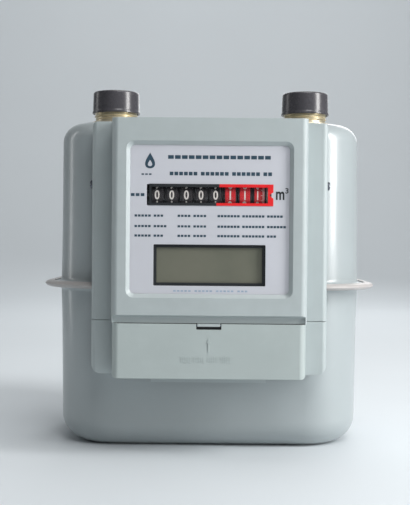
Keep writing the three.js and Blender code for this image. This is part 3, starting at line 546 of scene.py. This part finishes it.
rows = ticks(-24.8, 39.6, 177.0, 4.5, 3.35, 0.73, fill=0.86)
rows += ticks(-23.8, 38.9, 167.3, 4.4, 2.2, 0.62, cols=2, word=6, fill=0.88)
for z, lo, mid, hi in ((142.4, 18, 19.5, 44.5), (136.2, 19, 19, 45.0), (130.6, 17.5, 19.5, 40.5)):
    rows += ticks(-44.3, -44.3 + lo, z, 2.7, 1.5, 0.5, cols=2, rows=2, fill=0.66, word=5)
    rows += ticks(-18.9, -18.9 + mid, z, 2.7, 1.5, 0.5, cols=2, rows=2, fill=0.66, word=4)
    rows += ticks(4.6, hi, z, 2.8, 1.5, 0.42, cols=2, rows=2, fill=0.74, word=7)
rows += ticks(-46.6, -37.9, 154.7, 3.6, 2.2, 0.7, cols=2, fill=0.68)
rows += ticks(-40.4, -32.4, 166.8, 1.9, 1.5, 0.7, cols=2, rows=2)
ink("nameplate_print", rows, INK)
ink("nameplate_note", ticks(-21.2, 23.6, 98.1, 2.1, 1.5, 0.7, cols=2, rows=2, fill=0.7, word=5), INK_PALE)


ink("lid_ribs", ribs, LID, (-100.68, -100.4), "lid")


def shape(name, pts, mat, y=INK_Y, body="case"):
    return place(prism(name, pts, y[0], y[1], "y"), mat, body)


def drop(cx, cz, w, h, n=40, lean=0.0):
    pts = []
    for i in range(n):
        t = 2 * math.pi * i / n
        r = math.sin(t / 2) ** 1.5
        pts.append((cx + w * math.sin(t) * r * 0.5 + lean * (1 + math.cos(t)) / 2, cz + h * 0.5 * math.cos(t)))
    return pts


# a plain drop in one colour
shape("mark_drop", drop(-35.4, 174.9, 8.4, 9.4), INK)
shape("mark_drop_light", drop(-35.4, 173.4, 3.6, 3.8), LABEL, (-98.80, -98.73))


def text_mesh(body, size, thick, name="txt"):
    cu = bpy.data.curves.new(name, "FONT")
    cu.body, cu.size, cu.align_x, cu.align_y = body, size, "CENTER", "CENTER"
    cu.resolution_u = 4
    cu.offset = thick
    o = bpy.data.objects.new(name, cu)
    scene.collection.objects.link(o)
    dg = bpy.context.evaluated_depsgraph_get()
    me = bpy.data.meshes.new_from_object(o.evaluated_get(dg))
    bpy.data.objects.remove(o)
    return me


# unit beside the window
def fitted(body, x0, x1, z0, z1, weight):
    """A character's outline scaled to a box on the plate."""
    me = text_mesh(body, 6.0, weight)
    xs, ys = [v.co.x for v in me.vertices], [v.co.y for v in me.vertices]
    ax, ay = min(xs), min(ys)
    kx, kz = (x1 - x0) / (max(xs) - ax), (z1 - z0) / (max(ys) - ay)
    return [(x0 + (v.co.x - ax) * kx, INK_Y[0], z0 + (v.co.y - ay) * kz) for v in me.vertices], [tuple(p.vertices) for p in me.polygons]


va, fa = fitted("m", 38.9, 43.9, 152.2, 157.2, 0.16)
vb, fb = fitted("3", 44.4, 46.3, 156.0, 159.2, 0.10)
uo = raw("unit_mark", va + vb, fa + [tuple(i + len(va) for i in f) for f in fb])
sol = uo.modifiers.new("s", "SOLIDIFY")
sol.thickness = 0.05 * MM
sol.offset = 0
bake(uo)
place(uo, BLACK, "case")

# printed frame round the window, black then red, with a notch for the pointer
bx0, bx1, bz0, bz1 = -35.7, 37.4, 148.5, 161.2
ix0, ix1, iz0, iz1 = -34.4, 34.2, 150.1, 159.4
split_t, split_b = 5.6, 3.8
shape("window_frame_black", [(bx0, bz0), (split_b, bz0), (split_b, iz0), (ix0, iz0), (ix0, iz1), (split_t, iz1), (split_t, bz1), (bx0, bz1)], BLACK, (-99.0, -98.2))
shape("window_frame_red", [(split_b + 0.02, bz0), (bx1, bz0), (bx1, 152.9), (34.9, 154.8), (bx1, 156.7), (bx1, bz1), (split_t + 0.02, bz1), (split_t + 0.02, iz1), (ix1, iz1), (ix1, iz0), (split_b + 0.02, iz0)], FRAME_RED, (-99.0, -98.2))
win = prism("index_window_pane", rrect(36.4, 5.9, 0.4, 4, -0.5, 154.8), -98.15, -97.5, "y")
bevel(win, 0.1, 2, 60)
place(win, CLEAR, "case", ["index_window"])

# ------------------------------------------------------------------ display
refine("lcd_bezel", BLACK, 0.2, 2)
glass = prism("lcd_pane", rrect(32.8, 11.9, 0.5, 4, 0, 113.3), -96.1, -94.0, "y")
bevel(glass, 0.15, 2, 60)
place(glass, LCD, "case", ["lcd_glass"])

# ------------------------------------------------------------------ number wheels
WX0, PITCH, WR, WW, AY, AZ = -31.2, 8.65, 10.2, 8.2, -86.8, 154.8
DIGITS = []
for k in range(10):
    me = text_mesh(str(k), 7.6, 0.17)
    bm = bmesh.new()
    bm.from_mesh(me)
    bmesh.ops.remove_doubles(bm, verts=bm.verts, dist=1e-5)
    for c in [i * 0.6 for i in range(-7, 8)]:
        bmesh.ops.bisect_plane(bm, geom=bm.verts[:] + bm.edges[:] + bm.faces[:], plane_co=(0, c, 0), plane_no=(0, 1, 0))
    bm.verts.index_update()
    vs = [(v.co.x, v.co.y) for v in bm.verts]
    fs = [tuple(v.index for v in f.verts) for f in bm.faces]
    bm.free()
    mx, mz = (min(v[0] for v in vs) + max(v[0] for v in vs)) / 2, (min(v[1] for v in vs) + max(v[1] for v in vs)) / 2
    DIGITS.append(([((x - mx) * 0.78, y - mz) for x, y in vs], fs))


def on_wheel(x, v, r, turn):
    a = v / WR + turn
    return (x, AY - r * math.cos(a), AZ + r * math.sin(a))


for i in range(8):
    cx = WX0 + i * PITCH
    w = WW / 2
    e = 3.0
    prof = [(1.8, -w), (4.2, -w), (4.2, -w + 0.5), (8.2, -w + 0.5), (8.2, -w), (WR - 1.15, -w), (WR - 0.95, -w + 0.12), (WR - 0.9, -w + 0.4), (WR - 0.9, -e - 0.12),
            (WR - 0.12, -e - 0.02), (WR, -e + 0.1), (WR, e - 0.1), (WR - 0.12, e + 0.02), (WR - 0.9, e + 0.12), (WR - 0.9, w - 0.4), (WR - 0.95, w - 0.12), (WR - 1.15, w),
            (8.2, w), (8.2, w - 0.5), (4.2, w - 0.5), (4.2, w), (1.8, w)]
    body = f"wheel_{i + 1}"
    o = lathe(f"wheel_drum_{i + 1}", prof, "x", 96, (cx, AY, AZ))
    place(o, WHEEL_BLACK, body, [f"number_wheel_{i + 1}"], 40)
    if i >= 5:
        o.data.materials.append(WHEEL_RED)
        for p in o.data.polygons:
            if abs(p.center.x / MM - cx) < e + 0.08 and math.hypot(p.center.y / MM - AY, p.center.z / MM - AZ - SHIFT) > WR - 0.85:
                p.material_index = 1
    verts, faces = [], []
    start = 0 if i < 5 else 1
    for k in range(10):
        turn = -math.radians(36) * ((k - start) % 10)
        vs, fs = DIGITS[k]
        n0, m0 = len(verts), len(vs)
        dx = -1.1 if i == 7 else 0.0
        sc = 0.72 if i == 7 else 1.0
        for r in (WR - 0.02, WR + 0.04):
            verts += [on_wheel(cx + dx + x * sc, v, r, turn) for x, v in vs]
        for f in fs:
            faces.append(tuple(n0 + j for j in f))
            faces.append(tuple(n0 + m0 + j for j in reversed(f)))
        edges = {}
        for f in fs:
            for a, b in zip(f, f[1:] + f[:1]):
                edges[(a, b)] = True
        for a, b in edges:
            if (b, a) not in edges:
                faces.append((n0 + a, n0 + m0 + a, n0 + m0 + b, n0 + b))
        if i == 7:
            for j in range(10):
                t = turn - math.radians(3.6) * j
                x0, x1 = (0.9, 2.85) if j % 5 == 0 else (1.7, 2.85)
                q = len(verts)
                for r in (WR - 0.02, WR + 0.04):
                    for x, v in ((x0, -0.13), (x1, -0.13), (x1, 0.13), (x0, 0.13)):
                        verts.append(on_wheel(cx + x, v, r, t))
                faces += [(q, q + 1, q + 2, q + 3), (q + 4, q + 7, q + 6, q + 5)] + [(q + e, q + 4 + e, q + 4 + (e + 1) % 4, q + (e + 1) % 4) for e in range(4)]
    place(raw(f"wheel_digits_{i + 1}", verts, faces), DIGIT, body)

# ------------------------------------------------------------------ cells
for i, (x, z, flip) in enumerate([(-27, 56.4, 1), (27, 56.4, -1), (-27, 70.5, -1), (27, 70.5, 1)]):
    prof = [(0.01, -25.1), (5.2, -25.1), (5.5, -24.9), (6.5, -24.85), (6.85, -24.6), (7.0, -24.1), (7.0, 23.0), (6.85, 23.6), (6.4, 23.9), (5.6, 23.95), (5.4, 23.7), (2.9, 23.7), (2.7, 24.0), (2.7, 24.9), (2.5, 25.2), (0.01, 25.2)]
    o = lathe(f"cell_{i + 1}", [(r, h * flip) for r, h in prof], "x", 64, (x, -90.4, z), closed=False)
    place(o, CELL, "case", [f"battery_cell_{i + 1}"], 40)
    o.data.materials.append(STEEL)
    for p in o.data.polygons:
        h = (p.center.x / MM - x) * flip
        if h > 23.3 or h < -24.4:
            p.material_index = 1
    ring = lathe(f"cell_band_{i + 1}", [(7.0, 12.0 * flip), (7.04, 12.05 * flip), (7.04, 20.9 * flip), (7.0, 21.0 * flip)], "x", 64, (x, -90.4, z))
    place(ring, BRASS, "case")

# ------------------------------------------------------------------ side screws
for s, side in ((-1, "left"), (1, "right")):
    o = lathe(f"side_screw_head_{side}", [(0.01, s * 66.8), (1.1, s * 66.8), (1.2, s * 67.0), (1.2, s * 72.45), (2.6, s * 72.5), (2.7, s * 72.7), (2.65, s * 73.2), (2.3, s * 73.8), (1.6, s * 74.15), (0.01, s * 74.2)], "x", 40, (0, -70.5, 162), closed=False)
    a, b = sorted((s * 73.4, s * 76))
    cut(o, block(a, b, -73.5, -67.5, 161.65, 162.35))
    place(o, SCREW, "case", [f"side_screw_{side}"], 35)

# ------------------------------------------------------------------ everything inside
for node, mat, w, slot in [
    ("case_gasket", RUBBER, 0.2, "gasket_rubber"), ("main_board", BOARD, 0.1, "board"), ("card_reader", DARK, 0.3, "holder_black"),
    ("battery_holder", DARK, 0.2, "holder_black"), ("index_frame", DARK, 0.2, "gear_white"), ("index_axle", STEEL, 0.15, "steel"),
    ("index_crown_gear", WHITE_ABS, 0.08, "gear_white"), ("drive_crown_gear", WHITE_ABS, 0.08, "gear_white"), ("drive_shaft", STEEL, 0.15, "steel"),
    ("drive_bush", BRASS, 0.2, "brass"), ("change_gear_driver", BRASS, 0.1, "brass"), ("change_gear_driven", BRASS, 0.1, "brass"),
    ("index_input_shaft", STEEL, 0.08, "steel"), ("crank", STEEL, 0.1, "steel"), ("rotary_valve", PHENOLIC, 0.3, "measuring_plastic"),
    ("valve_table", PHENOLIC, 0.3, "measuring_plastic"), ("chamber_block", PHENOLIC, 0.5, "measuring_plastic"),
    ("front_chamber_cover", PHENOLIC, 0.4, "measuring_plastic"), ("rear_chamber_cover", PHENOLIC, 0.4, "measuring_plastic"),
    ("front_diaphragm_plate", STEEL, 0.2, "steel"), ("rear_diaphragm_plate", STEEL, 0.2, "steel"),
    ("front_flag_rod", STEEL, 0.15, "steel"), ("rear_flag_rod", STEEL, 0.15, "steel"), ("front_link", STEEL, 0.15, "steel"), ("rear_link", STEEL, 0.15, "steel"),
    ("outlet_pipe", STEEL, 0.2, "steel"), ("shutoff_valve_body", DARK, 0.3, "holder_black"), ("shutoff_plunger", RUBBER, 0.2, "gasket_rubber"),
]:
    refine(node, mat, w, 2)

# the diaphragms: the outer edge stays with the chamber, the inner edge goes with the plate
for node, y, dy, body in (("front_diaphragm", -27.0, 0.0, "front_plate"), ("rear_diaphragm", 27.0, 7.0, "rear_plate")):
    top, low, K = [], [], 28
    for i in range(K + 1):
        u = i / K
        r, h = 27.4 + 14.25 * u, dy * (1 - u) + 5 * math.sin(math.pi * u) + 0.25 * math.sin(math.pi * u) * math.sin(9 * math.pi * u)
        top.append((r, y + h + 0.35))
        low.insert(0, (r, y + h - 0.35))
    o = lathe(node + "_ring", top + low, "y", 96, (-20, 0, 56))
    finish_mesh(o.data, 60)
    o.data.materials.append(CLOTH)
    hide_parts(node)
    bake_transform(o, "case", body, (-20 * MM - 0.0417, y * MM, (56 + SHIFT) * MM), (-20 * MM - 0.0274, y * MM, (56 + SHIFT) * MM))
    w = o.data.attributes["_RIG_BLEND"].data
    for v in o.data.vertices:
        t = min(1.0, max(0.0, (0.04165 - math.hypot(v.co.x + 0.020, v.co.z - (56 + SHIFT) * MM)) / 0.01425))
        w[v.index].value = t * t * (3 - 2 * t)

# ------------------------------------------------------------------ floor
FLOOR = material("floor", srgb(216, 222, 226), 0.7, 0.0, 0.01, 3, None)
fl = bpy.data.meshes.new("floor")
pts, quads = [], []
NX, NP = 2, 24
for i in range(NP + 1):
    t = i / NP
    if t < 0.5:
        y, z = -3 + 2 * t * 4.2, 0.0
    else:
        a = (t - 0.5) * math.pi
        y, z = 1.2 + 1.0 * math.sin(a), 1.0 * (1 - math.cos(a))
    for x in (-4, 4):
        pts.append((x, y, z))
pts += [(-4, 2.2, 4), (4, 2.2, 4)]
for i in range(NP + 1):
    quads.append((2 * i, 2 * i + 1, 2 * i + 3, 2 * i + 2))
fl.from_pydata(pts, [], quads)
fl.shade_smooth()
fl.materials.append(FLOOR)
floor = bpy.data.objects.new("floor", fl)
scene.collection.objects.link(floor)
